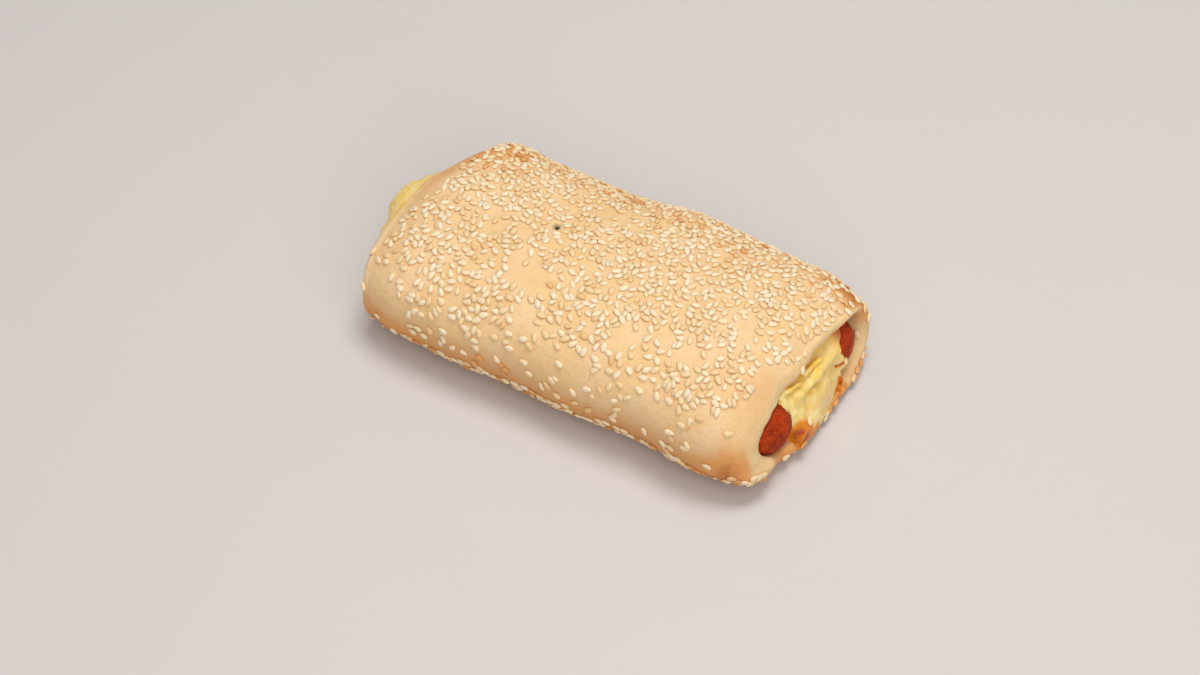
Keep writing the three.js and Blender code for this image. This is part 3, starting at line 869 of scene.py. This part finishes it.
cheese = {
    "finest": 0.38,
    "coarsest": 2.0,  # deep inside the roll
    "deepInside": (-66.0, 56.0),
    "low": (-92.0, -24.0, 2.0),
    "high": (77.0, 28.0, 30.0),
    "leftEnd": -72.0,
    "leftRounding": 7.0,
    "sides": (-13.5, 17.5),
    "blend": 2.2,
    # Places on the face that shows between the two sausages
    "face": [
        (62.5, -14, 28), (62, -4, 28), (62.5, 6, 27), (63, 14, 26.5), (64, 22, 25.5),
        (63.4, -12, 26), (63.2, -6, 25.5), (63.6, -1.1, 24.6), (64, 5, 23.6), (64.6, 11.6, 22.6),
        (65.4, 17.5, 21.8), (65.8, 21, 21), (65, -14, 23), (64.9, -8.3, 22.6), (66.6, -13.5, 19.5),
        (66.2, -9.1, 19.9), (67, -7, 18.1), (66.8, -2.9, 20.4), (67.1, 0, 20.8), (67.4, 4, 20.6),
        (67.9, 8.6, 19.9), (68, 12.7, 20), (68, 16.5, 19.6), (67.5, 20.5, 18.6), (66, -4.6, 18.6),
        (66.2, 0, 18.1), (66.8, 5.2, 17.3), (68, 8.8, 16.8), (68.8, 13.6, 13.1), (68, 17, 15.8),
        (67.8, -2.4, 15.8), (69, -3.8, 12.9), (68.7, 1.3, 16.6), (69.6, 5.5, 15.4), (69.8, 9.5, 14.2),
        (70.3, 2, 14), (70.8, 6.8, 12.8), (71.2, 1.8, 11.4), (71.5, 7.4, 10.2), (71.9, 4, 8.6),
        (72, 9, 7), (72.3, 4, 5.2), (72.2, -1, 7.6), (72, 9.1, 3.8), (70.4, 14, 9),
        (71.2, 15, 5), (69.2, 18, 11), (70.2, 18.5, 7.5), (70.4, 19, 5), (68.2, -7.8, 14.6),
        (69, -13.1, 15), (68.8, -14.8, 12), (70.3, -11.9, 13), (71.4, -7.7, 10.6), (71.2, -13, 9.8),
        (72.2, -9.5, 8.6), (72.3, -5.9, 7.6), (72.2, -8.5, 6.2), (71.4, -12.5, 6.6), (69.8, -15.5, 8.5),
    ],
    "faceSoftness": 1.1,
    "faceSlope": 0.75,
    # From, to, radius
    "strings": [
        ((64.4, -10, 25.6), (65.8, -4, 24.4), 0.7),
        ((65.6, -1, 25.2), (66.6, 8, 23.6), 0.8),
        ((66.4, -6, 20.8), (67.6, 4, 20.8), 1.2),
        ((67.6, 4, 20.8), (67.8, 15, 20.2), 1.3),
        ((67.6, 12, 18.2), (68.4, 19.5, 16), 0.9),
        ((66.2, -6, 20.8), (68.6, -6.8, 14), 1),
        ((65.6, -9.4, 21.4), (68.2, -10.6, 15.6), 0.8),
        ((69.6, 15.4, 13), (71.4, 16, 8), 0.5),
        ((71.4, 16, 8), (72.2, 14, 4.8), 0.5),
    ],
    "stringBlend": 1.8,  # times its radius
    "grooves": [
        ((67.3, -2, 17), (70.6, -4.4, 10), 0.5),
        ((67.4, 0.6, 17.6), (68.4, 10, 16.6), 0.5),
        ((70.6, 13.8, 11), (71.8, 14, 7.6), 0.4),
        ((69.2, 14, 14.6), (71.4, 18, 14.9), 0.4),
        ((68.6, 15.6, 14), (70.4, 19.6, 9.6), 0.6),
        ((67.2, 15.6, 13.6), (69, 19.6, 9.2), 0.7),
    ],
    "grooveBlend": 0.5,
    # Centre, then half sizes
    "leftLobes": [
        ((-77, 6, 15), (11, 13, 9.4)),
        ((-75.5, -7, 13.5), (8.8, 9, 8.8)),
        ((-74.5, 15, 15), (8.6, 8, 8.8)),
    ],
    # How far over the far sausage a thin layer has run: height, then where it ends
    "smear": [(10, 20.2), (13.5, 18.2), (19.2, 16.6), (22.2, 17.8), (24, 21), (27, 25.4)],
    "smearDepth": 0.8,
    "smearFrom": 60,
    "smearBlend": 0.9,
    # Where it meets a sausage it climbs a little up its skin
    "cling": 1.9,
    "clingDepth": 0.36,
    # How far from a mouth's reach the bore starts to widen and is full
    "rightFlare": (24, 8),
    "leftFlare": (24, 4),
    "spilt": 1.6,  # over the lower lip
    "spiltFrom": (69, 72),
    "freeRight": (60, 64),
    "freeLeft": (67, 72),
    "freeTurn": (-0.1, 0.5),
    "ripples": [(0.3, 4.5, 6.1), (0.28, 1.7, 2.7, (1, 1, 0.5))],
    "creases": (0.5, 2.6, 12.3, (1, 0.55, 1)),
    "creaseMiddle": 0.12,
    "leftRipple": 1.8,
    "rightRipple": 0.75,
    "smoothMiddle": ((71.4, 4.5, 9.4), 6.5, 0.6),
    # Spots of colour: centre, radius and amount
    "browned": [
        ((71.8, -9.8, 7.4), 4.6, 1.1), ((69.5, -12.6, 12), 3.2, 0.9), ((73, -3, 4.6), 2.4, 0.7),
        ((72.2, 15.8, 7), 1.5, 0.7), ((72.2, 12.6, 4.8), 2.2, 1.2), ((73, 6, 3.6), 2.0, 0.6),
        ((71.4, 15.6, 9.4), 0.9, 0.9), ((71.6, 15.6, 7.4), 1.1, 1.0), ((69.8, 14.8, 14.7), 0.7, 1.5),
        ((70.8, 16.2, 14.8), 0.8, 1.6), ((71.4, 17.8, 14.8), 0.8, 1.5),
    ],
    # Painted shade: the hollows under the upper lip and between the folds take a deeper yellow
    "hollows": [
        ((63.9, -8, 24.4), 2.2, 1.2), ((64.6, -2, 24.2), 2.0, 1.1), ((65.4, 4, 24.4), 2.2, 1.2),
        ((66, 10, 24.6), 2.2, 0.6), ((67.3, 0, 16.8), 1.5, 0.8), ((68, 6, 16.6), 1.8, 0.6),
        ((68.6, -3.4, 13.6), 1.8, 0.6), ((68.6, 12, 16), 1.8, 0.5),
    ],
    "hollowWave": (0.5, 3.0, 1.1),
    "hollowShade": 0.8,
    "mostBrowned": 1.2,
    "whitened": [((71.4, 5.5, 9.4), 5.0, 1.0), ((67, 14, 18.5), 3.6, 0.6)],
    "blushed": [((67.2, 20.4, 23.8), 2.6, 1.1), ((68.6, 18.8, 21.6), 1.6, 0.5)],
}


def ellipsoidField(points, centre, half):
    offset = points - np.array(centre)
    near = np.linalg.norm(offset / np.array(half), axis=-1)
    slope = np.linalg.norm(offset / np.array(half) ** 2, axis=-1)
    return near * (near - 1) / np.maximum(slope, tiny)


def capsuleField(points, start, end, radius):
    start, end = np.array(start), np.array(end)
    along = end - start
    share = np.clip((points - start) @ along / (along @ along), 0, 1)
    return np.linalg.norm(points - start - share[..., None] * along, axis=-1) - radius


def melt(first, second, blend):
    share = np.clip(0.5 + 0.5 * (second - first) / blend, 0, 1)
    return second * (1 - share) + first * share - blend * share * (1 - share)


def sausageField(points, place, margin):
    radius = sausages["radius"] - place["slimmer"]
    middle = (place["left"] + place["right"]) / 2
    straight = (place["right"] - place["left"]) / 2 - place["nose"]
    x = points[..., 0] - middle
    beyond = np.sign(x) * np.maximum(np.abs(x) - straight, 0) * radius / place["nose"]
    y = points[..., 1] - place["axisY"]
    z = points[..., 2] - sausages["axisHeight"] - place["raised"]
    return np.hypot(np.hypot(y, z), beyond) - radius - margin


def boreField(points):
    # Negative inside the bore, which widens over its last stretch at each mouth
    x, y, z = points[..., 0], points[..., 1], points[..., 2]
    axisY = np.clip(y, sausages["near"]["axisY"], sausages["far"]["axisY"])
    away = np.hypot(y - axisY, z - sausages["axisHeight"])
    ends = 0
    for mouth, direction, flare in ((rightMouth, 1, "rightFlare"), (leftMouth, -1, "leftFlare")):
        start, full = (mouth["reach"] - back for back in cheese[flare])
        ends = ends + smooth(direction * x, start, full) * mouth["flare"]
    widened = ends * mouthOpening(y, z)
    return away - sausages["radius"] - widened - cheese["spilt"] * smooth(x, *cheese["spiltFrom"])


def faceAt(y, z):
    # How far along the roll the cheese reaches, carried smoothly between the places on its face
    places = np.array(cheese["face"])
    knots = places[:, 1:]
    softness = cheese["faceSoftness"]
    apart = np.sqrt(((knots[:, None] - knots[None]) ** 2).sum(-1) + softness ** 2)
    middle = places[:, 0].mean()
    weights = np.linalg.solve(apart, places[:, 0] - middle)
    reach = np.full(y.shape, middle)
    for weight, (knotY, knotZ) in zip(weights, knots):
        reach += weight * np.sqrt((y - knotY) ** 2 + (z - knotZ) ** 2 + softness ** 2)
    return reach


def cheeseField(points):
    x, y, z = points[..., 0], points[..., 1], points[..., 2]
    nearSide, farSide = cheese["sides"]
    across = np.abs(y - (nearSide + farSide) / 2) - (farSide - nearSide) / 2
    face = faceAt(y[0], z[0])[None]
    leftEnd = -melt(x - cheese["leftEnd"], -across, cheese["leftRounding"])
    field = np.maximum((x - face) * cheese["faceSlope"], leftEnd)
    for lobe in cheese["leftLobes"]:
        field = melt(field, ellipsoidField(points, *lobe), cheese["blend"])
    heights, ends = np.array(cheese["smear"]).T
    smear = sausageField(points, sausages["far"], cheese["smearDepth"])
    smear = np.maximum(smear, y - np.interp(z, heights, ends))
    field = melt(field, np.maximum(smear, cheese["smearFrom"] - x), cheese["smearBlend"])
    for start, end, radius in cheese["strings"]:
        field = melt(field, capsuleField(points, start, end, radius), cheese["stringBlend"] * radius)
    for start, end, radius in cheese["grooves"]:
        field = -melt(-field, capsuleField(points, start, end, radius), cheese["grooveBlend"])
    both = (sausages["near"], sausages["far"])
    for place in both:
        field = melt(field, sausageField(points, place, -cheese["clingDepth"]), cheese["cling"])
    field = np.maximum(field, boreField(points))
    for place in both:
        field = np.maximum(field, -sausageField(points, place, -sausages["skinOverlap"]))
    return field


def skinOver(field, axes):
    # Surface nets: one point in each cell that the surface crosses, one face for each crossed grid edge
    cells = tuple(n - 1 for n in field.shape)
    total = np.zeros(cells + (3,), dtype=np.float32)
    count = np.zeros(cells, dtype=np.int8)
    corners = [(i, j, k) for i in (0, 1) for j in (0, 1) for k in (0, 1)]

    def at(corner):
        return field[tuple(slice(c, c + n) for c, n in zip(corner, cells))]

    for start in corners:
        for axis in range(3):
            if start[axis]:
                continue
            end = tuple(1 if n == axis else c for n, c in enumerate(start))
            a, b = at(start), at(end)
            crossed = (a < 0) != (b < 0)
            share = np.where(crossed, a / np.where(crossed, a - b, 1), 0)
            for n in range(3):
                total[..., n] += np.where(crossed, start[n] + (share if n == axis else 0), 0)
            count += crossed
    active = count > 0
    number = np.full(cells, -1, dtype=np.int64)
    number[active] = np.arange(active.sum())
    places = np.argwhere(active) + total[active] / count[active][:, None]
    points = np.stack([np.interp(places[:, n], np.arange(len(axes[n])), axes[n]) for n in range(3)], axis=-1)
    faces = []
    for axis in range(3):
        one, two = [n for n in range(3) if n != axis]
        here = [slice(None)] * 3
        there = [slice(None)] * 3
        here[axis], there[axis] = slice(0, -1), slice(1, None)
        inside = field[tuple(here)] < 0
        crossed = inside != (field[tuple(there)] < 0)
        for n in (one, two):
            edge = [slice(None)] * 3
            edge[n] = [0, -1]
            crossed[tuple(edge)] = False
        spots = np.argwhere(crossed)
        step = np.eye(3, dtype=int)
        around = [spots - step[one] - step[two], spots - step[two], spots, spots - step[one]]
        quad = np.stack([number[tuple(corner.T)] for corner in around], axis=1)
        outwards = inside[tuple(spots.T)] == (axis != 1)
        faces.append(np.where(outwards[:, None], quad, quad[:, ::-1]))
    return points, np.concatenate(faces).tolist()


def makeCheese():
    fine = cheese["finest"]
    axes = [np.arange(a, b, fine) for a, b in zip(cheese["low"], cheese["high"])]
    start, end = cheese["deepInside"]
    inside = np.arange(start, end, cheese["coarsest"])
    axes[0] = np.concatenate([axes[0][axes[0] < start - fine / 2], inside, axes[0][axes[0] > end]])
    grid = np.stack(np.meshgrid(*axes, indexing="ij"), axis=-1)
    points, faces = skinOver(cheeseField(grid).astype(np.float32), axes)
    piece = meshObject("cheese_filling", points, faces, finishes["cheese"])
    normals = vertexNormals(piece)
    x = points[:, 0]
    free = np.maximum(smooth(x, *cheese["freeRight"]), smooth(-x, *cheese["freeLeft"]))
    free *= smooth(normals[:, 0] * np.sign(x), *cheese["freeTurn"])
    ripple = withWaves(0, points, cheese["ripples"])
    ripple -= np.abs(wave(points, *cheese["creases"])) - cheese["creaseMiddle"]
    ripple *= np.where(x < 0, cheese["leftRipple"], cheese["rightRipple"])
    ripple *= 1 - withSpots(0, points, [cheese["smoothMiddle"]])
    points = points + normals * (ripple * free)[:, None]
    placeVertices(piece, points)
    # Painted shade in the hollows
    hollow = cheese["hollowShade"] + wave(points, *cheese["hollowWave"])
    hollow *= withSpots(0, points, cheese["hollows"])
    keepShares(piece, {
        "toast": np.clip(withSpots(0, points, cheese["browned"]), 0, cheese["mostBrowned"]),
        "deep": np.clip(hollow, 0, 1),
        "white": np.clip(withSpots(0, points, cheese["whitened"]), 0, 1),
        "blush": np.clip(withSpots(0, points, cheese["blushed"]), 0, 1),
    })
    return piece


cheesePiece = makeCheese()
print("cheese made:", len(cheesePiece.data.polygons), "faces")

# Sesame

sesame = {
    "length": 3.1,
    "width": 2.0,
    "thickness": 1.05,
    "around": 8,
    "rings": 5,
    "fullness": 0.86,  # less is blunter
    "taper": 0.22,
    "tip": 1.02,
    "sunk": 0.18,
    "nearest": 0.7,
    "perSquareMetre": 700000.0,
    "elbowRoom": 0.53,  # how close seeds may lie, as a share of touching
    "ballsApart": 0.3,
    "neighbourhood": 1.1,  # in seed lengths
    "smallest": 0.8,
    "largest": 1.08,
    "tilt": 0.2,
    "seed": 11,
    # More toasted on the far side and low down: by how much and from where. Low down and at the foot this is
    # partly painted shade
    "toast": 0.87,
    "far": (0.1, (8, 34)),
    "low": (0.14, (-28, -16)),
    "foot": (0.28, (-14, -4)),
    "farLeft": (0.08, (35, 60), (0, 20)),
    "pictureMiddle": (618, 330),
    # Seeds by themselves: place in the picture, then heading in degrees
    "strays": [
        (809, 421, 72), (857, 334, 110), (845, 361, 25), (802, 370, 105), (791, 461, 10),
        (803, 444, 35), (827, 418, 30), (829, 416, 70), (833, 411, 60), (839, 404, 20), (853, 378, 50),
        (858, 370, 40), (863, 363, 85), (864, 356, 80), (868, 317, 95), (864, 308, 100),
        (859, 299, 130), (852, 294, 140), (732, 478, 0), (728, 481, 5), (738, 481, 15), (744, 482, 0),
        (750, 483, 10), (754, 478, 20), (759, 477, 25), (763, 475, 30), (363, 286, 100), (374, 251, 60),
        (645, 347, 120), (648, 357, 170), (661, 352, 0), (657, 361, 110), (619, 356, 60),
        (620, 363, 75), (597, 366, 160), (595, 359, 140), (609, 371, 155), (617, 375, 35),
        (639, 368, 45), (647, 370, 20), (643, 378, 160), (639, 390, 140), (657, 396, 100),
        (669, 401, 140), (679, 410, 90), (681, 425, 160), (687, 445, 95), (573, 392, 100),
        (587, 389, 5), (671, 370, 0), (615, 414, 60), (617, 409, 30), (613, 418, 100), (663, 443, 110),
        (666, 449, 150), (670, 447, 140), (707, 466, 160), (392, 277, 50), (410, 299, 160),
        (415, 311, 30), (409, 314, 60), (429, 301, 70), (441, 301, 130), (436, 312, 110),
        (431, 316, 100), (453, 309, 15), (452, 317, 160), (467, 302, 170), (474, 298, 110),
        (443, 331, 150), (430, 330, 90), (418, 328, 155), (413, 331, 145), (424, 335, 150),
        (465, 328, 150), (479, 333, 110), (474, 330, 60), (494, 337, 160), (523, 339, 175),
        (509, 348, 165), (497, 359, 100), (500, 364, 150), (505, 369, 150), (524, 362, 150),
        (529, 373, 145), (559, 364, 140), (557, 346, 130), (579, 349, 120), (573, 344, 15),
        (552, 380, 130), (542, 386, 80), (547, 385, 110), (557, 395, 140), (595, 370, 20),
        (405, 335, 150), (409, 337, 165), (430, 350, 30), (434, 349, 120), (441, 352, 160),
        (447, 356, 150), (455, 359, 140), (462, 361, 165), (467, 363, 130), (475, 363, 90),
        (479, 367, 155), (485, 371, 150), (490, 374, 165), (495, 376, 140), (500, 378, 100),
        (506, 380, 160), (515, 383, 145), (519, 386, 150), (525, 387, 155), (532, 391, 130),
        (540, 396, 140), (544, 399, 135), (550, 401, 20), (557, 404, 160), (565, 405, 150),
        (569, 410, 140), (579, 416, 10), (585, 418, 100), (590, 419, 90), (599, 420, 150),
        (606, 422, 160), (617, 427, 110), (624, 430, 140), (631, 435, 145), (644, 441, 120),
        (649, 444, 150), (653, 446, 160), (671, 455, 130), (677, 458, 150), (682, 462, 145),
        (690, 466, 155), (697, 470, 150),
    ],
}


def seedShape():
    # One seed in metres, lying flat, its pointed end towards +X
    half = np.array([sesame["length"], sesame["width"], sesame["thickness"]]) / 2
    turns = np.linspace(0, np.pi, sesame["rings"] + 2)[1:-1]
    places = [-math.cos(turn) for turn in turns]
    radii = []
    for turn, t in zip(turns, places):
        radii.append(math.sin(turn) ** sesame["fullness"] * (1 - sesame["taper"] * t))
    points, faces = turnedForm([-1.0, *places, sesame["tip"]], [0, *radii, 0], sesame["around"])
    points = points * half
    points[:, 2] += half[2] - sesame["sunk"]
    return points * millimetre, faces


def makeSeed():
    points, faces = seedShape()
    mesh = bpy.data.meshes.new("oneSeed")
    mesh.from_pydata(points.tolist(), [], faces)
    mesh.update()
    return bpy.data.objects.new("oneSeed", mesh)


def seedTree(finish):
    tree = bpy.data.node_groups.new("scatterSesame", "GeometryNodeTree")
    sockets = {}
    for name, kind in (
        ("Crust", "Geometry"), ("Seed Shape", "Object"), ("Nearest", "Float"), ("Density", "Float"),
        ("Smallest", "Float"), ("Largest", "Float"), ("Tilt", "Vector"), ("Seed", "Int"),
    ):
        socket = tree.interface.new_socket(name, in_out="INPUT", socket_type="NodeSocket" + kind)
        sockets[name] = socket.identifier
    tree.interface.new_socket("Seeds", in_out="OUTPUT", socket_type="NodeSocketGeometry")
    source = tree.nodes.new("NodeGroupInput").outputs
    share = addNode(tree, "GeometryNodeInputNamedAttribute", {"Name": "seedShare"}, data_type="FLOAT")
    scatter = addNode(tree, "GeometryNodeDistributePointsOnFaces", {
        "Mesh": source["Crust"],
        "Distance Min": source["Nearest"],
        "Density Max": source["Density"],
        "Density Factor": share["Attribute"],
        "Seed": source["Seed"],
    }, distribute_method="POISSON")
    # Each seed heads any way and lies a little tilted
    opposite = addNode(tree, "ShaderNodeVectorMath", {0: source["Tilt"], "Scale": -1}, operation="SCALE")
    heading = addNode(tree, "FunctionNodeRandomValue", {
        "Min": opposite["Vector"],
        "Max": source["Tilt"],
        "Seed": source["Seed"],
    }, data_type="FLOAT_VECTOR")
    turn = addNode(tree, "FunctionNodeEulerToRotation", {"Euler": heading["Value"]})
    rotated = addNode(tree, "FunctionNodeRotateRotation", {
        "Rotation": scatter["Rotation"],
        "Rotate By": turn["Rotation"],
    }, rotation_space="LOCAL")
    # A random node's sockets for plain numbers go by number
    size = addNode(tree, "FunctionNodeRandomValue", {
        2: source["Smallest"],
        3: source["Largest"],
        "Seed": source["Seed"],
    }, data_type="FLOAT")
    shape = addNode(tree, "GeometryNodeObjectInfo", {"Object": source["Seed Shape"]})
    copies = addNode(tree, "GeometryNodeInstanceOnPoints", {
        "Points": scatter["Points"],
        "Instance": shape["Geometry"],
        "Rotation": rotated["Rotation"],
        "Scale": size[1],
    })
    realized = addNode(tree, "GeometryNodeRealizeInstances", {"Geometry": copies["Instances"]})
    painted = addNode(tree, "GeometryNodeSetMaterial", {"Geometry": realized["Geometry"], "Material": finish})
    tree.links.new(painted["Geometry"], tree.nodes.new("NodeGroupOutput").inputs["Seeds"])
    return tree, sockets


def scatteredSeeds():
    oneSeed = makeSeed()
    tree, sockets = seedTree(finishes["seed"])
    carrier = linked("sesameCarrier", crust.data.copy())
    modifier = carrier.modifiers.new("Scatter", "NODES")
    modifier.node_group = tree
    for name, value in (
        ("Seed Shape", oneSeed),
        ("Nearest", sesame["nearest"] * millimetre),
        ("Density", sesame["perSquareMetre"]),
        ("Smallest", sesame["smallest"]),
        ("Largest", sesame["largest"]),
        ("Tilt", (sesame["tilt"], sesame["tilt"], math.pi)),
        ("Seed", sesame["seed"]),
    ):
        modifier[sockets[name]] = value
    evaluated = carrier.evaluated_get(bpy.context.evaluated_depsgraph_get())
    mesh = bpy.data.meshes.new_from_object(evaluated)
    places = np.zeros(len(mesh.vertices) * 3, dtype=np.float32)
    mesh.vertices.foreach_get("co", places)
    bpy.data.objects.remove(carrier)
    bpy.data.objects.remove(oneSeed)
    bpy.data.meshes.remove(mesh)
    return places.reshape(-1, 3)


def thinnedOut(seeds, placed):
    # Leaves out each seed that would lie across an earlier one, seeds being taken as three balls in a row.
    # The first ones were placed one by one and all stay
    tail, head = seeds[:, -2], seeds[:, -1]
    middle = (tail + head) / 2
    along = (head - tail) * sesame["ballsApart"]
    radius = sesame["elbowRoom"] * sesame["width"] / 2 * millimetre
    reach = sesame["length"] * sesame["neighbourhood"] * millimetre
    kept = []
    tree = KDTree(len(seeds))
    for number, place in enumerate(middle):
        tree.insert(place, number)
    tree.balance()
    taken = np.zeros(len(seeds), dtype=bool)
    for number, place in enumerate(middle):
        neighbours = [n for _, n, _ in tree.find_range(place, reach) if taken[n]]
        balls = np.array([place - along[number], place, place + along[number]])
        others = [middle[n] + step * along[n] for n in neighbours for step in (-1, 0, 1)]
        apart = np.linalg.norm(balls[:, None] - np.array(others)[None], axis=-1).min() if others else 1.0
        if number >= placed and apart < 2 * radius:
            continue
        taken[number] = True
        kept.append(number)
    return seeds[kept]


def straySeeds(shape):
    # Each lies on whatever its place in the picture shows first
    graph = bpy.context.evaluated_depsgraph_get()
    trees = [BVHTree.FromObject(piece, graph) for piece in (crust, cheesePiece, nearSausage, farSausage)]
    right, up, back = viewAxes()
    middle = np.array(sesame["pictureMiddle"])
    placed = []
    for across, down, heading in sesame["strays"]:
        place = np.array([across, down], dtype=float)
        hits = []
        while not hits:
            way = lookingThrough(*place)
            hits = [hit for hit in (tree.ray_cast(cameraPlace(), way) for tree in trees) if hit[0]]
            # Beside the roll: a little nearer to its middle
            place += (middle - place) / np.linalg.norm(middle - place)
        point, normal = min(hits, key=lambda hit: hit[3])[:2]
        turn = math.radians(heading)
        along = right * math.cos(turn) + up * math.sin(turn)
        along = (along - normal * along.dot(normal)).normalized()
        axes = np.array([along, normal.cross(along), normal])
        placed.append(np.array(point) + shape @ axes)
    return np.concatenate(placed)


def makeSesame():
    shape, faces = seedShape()
    strays = straySeeds(shape)
    seeds = np.concatenate([strays, scatteredSeeds()]).reshape(-1, *shape.shape)
    points = toRoll(thinnedOut(seeds, len(sesame["strays"])).reshape(-1, 3))
    number = len(points) // len(shape)
    allFaces = [[corner + len(shape) * seed for corner in face] for seed in range(number) for face in faces]
    x, y, z = points.reshape(number, -1, 3).mean(axis=1).T
    toast = sesame["toast"] * np.random.default_rng(sesame["seed"]).random(number)
    # Low down and at the foot, partly painted shade
    for value, (amount, limits) in ((y, sesame["far"]), (-z, sesame["low"]), (-z, sesame["foot"])):
        toast += amount * smooth(value, *limits)
    amount, leftwards, farther = sesame["farLeft"]
    toast += amount * smooth(-x, *leftwards) * smooth(y, *farther)
    piece = meshObject("sesame", points, allFaces, finishes["seed"])
    keepShares(piece, {"toast": np.repeat(toast, len(shape))})
    return piece


sesamePiece = makeSesame()
sesamePiece.data.calc_loop_triangles()
print("sesame made:", len(sesamePiece.data.loop_triangles), "triangles")

# How the pieces go with the frame

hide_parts("dough")
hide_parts("sausage_near")
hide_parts("sausage_far")
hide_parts("cheese")
for piece, slotName in (
    (crust, "crust"), (nearSausage, "sausage_skin"), (farSausage, "sausage_skin"),
    (cheesePiece, "melted_cheese"), (sesamePiece, "sesame_seed"),
):
    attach(piece, "root")

# Floor, light and camera

studio = {
    "floorSize": 4.0,
    "floorColour": (213, 208, 206),
    "floorShade": 0.97,
    "floorNoise": (9, 3),
    "floorRoughness": 0.8,
    "skyColour": (1.0, 0.968, 0.93, 1.0),
    "skyStrength": 0.36,
    "distance": 1.1,
    # Size, power, where it shines from and colour
    "key": (0.5, 6.1, (0.12, 0.1, 1.0), (1.0, 0.985, 0.96)),
    "fill": (1.2, 5.2, (0.2, -0.9, 0.9), (1.0, 0.99, 0.98)),
}


def makeFloor():
    finish = Finish("paleFloor")
    colour = linear(*studio["floorColour"])
    shade = tuple(c * studio["floorShade"] for c in colour[:3]) + (1.0,)
    finish.join(finish.blend(finish.noise(*studio["floorNoise"]), colour, shade), "Base Color")
    finish.shader["Roughness"].default_value = studio["floorRoughness"]
    half = studio["floorSize"] / 2
    corners = [(-half, -half, 0), (half, -half, 0), (half, half, 0), (-half, half, 0)]
    mesh = bpy.data.meshes.new("floor")
    mesh.from_pydata(corners, [], [(0, 1, 2, 3)])
    mesh.materials.append(finish.material)
    floor = linked("floor", mesh)


def makeLight(name):
    data = bpy.data.lights.new(name, "AREA")
    data.shape = "DISK"
    data.size, data.energy, direction, data.color = studio[name]
    right, up, back = viewAxes()
    forward = Vector((-back.x, -back.y, 0)).normalized()
    way = (right * direction[0] + forward * direction[1] + Vector((0, 0, direction[2]))).normalized()
    lamp = linked(name, data)
    lamp.location = way * studio["distance"]
    lamp.rotation_euler = way.to_track_quat("Z", "Y").to_euler()


def makeCamera():
    data = bpy.data.cameras.new("camera")
    data.lens = view["lens"]
    data.sensor_width = view["sensor"]
    data.clip_start = view["clipStart"]
    camera = linked("camera", data)
    camera.location = cameraPlace()
    camera.rotation_euler = viewAxes()[2].to_track_quat("Z", "Y").to_euler()
    bpy.context.scene.camera = camera


def makeSky():
    world = bpy.data.worlds.new("studioSky")
    world.use_nodes = True
    background = world.node_tree.nodes["Background"].inputs
    background["Color"].default_value = studio["skyColour"]
    background["Strength"].default_value = studio["skyStrength"]
    bpy.context.scene.world = world


makeFloor()
makeLight("key")
makeLight("fill")
makeSky()
makeCamera()
bpy.context.scene.view_settings.view_transform = "Standard"
bpy.context.scene.view_settings.look = "None"
print("studio made")
